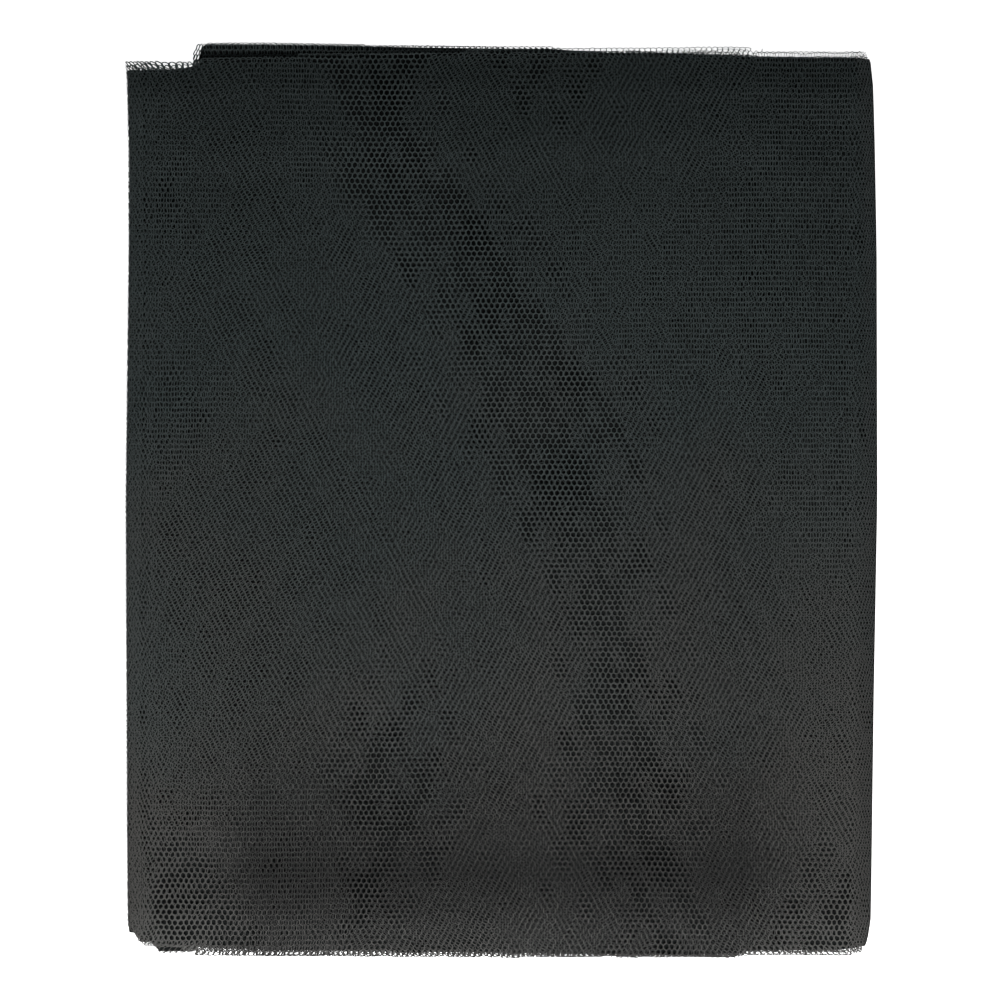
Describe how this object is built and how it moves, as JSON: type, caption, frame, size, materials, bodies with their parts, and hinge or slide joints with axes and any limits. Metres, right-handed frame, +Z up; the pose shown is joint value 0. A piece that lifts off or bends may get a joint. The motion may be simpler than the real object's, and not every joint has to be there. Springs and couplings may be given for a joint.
{
  "type": "folded plant protection netting",
  "caption": "Fine black plant protection netting, folded lengthwise and then back and forth into a flat rectangular pack.",
  "frame": {"origin": "centre of the pack's outline on its flat underside", "axes": "+X across the pack from fold to fold, +Y along the pack towards the end with the tab, +Z up through the leaves"},
  "size_m": [0.2505, 0.3045, 0.0157],
  "materials": {
    "net": "fine hexagonal net of black plastic yarn, satin"
  },
  "bodies": {
    "root": {"netting": "net"}
  },
  "joints": []
}
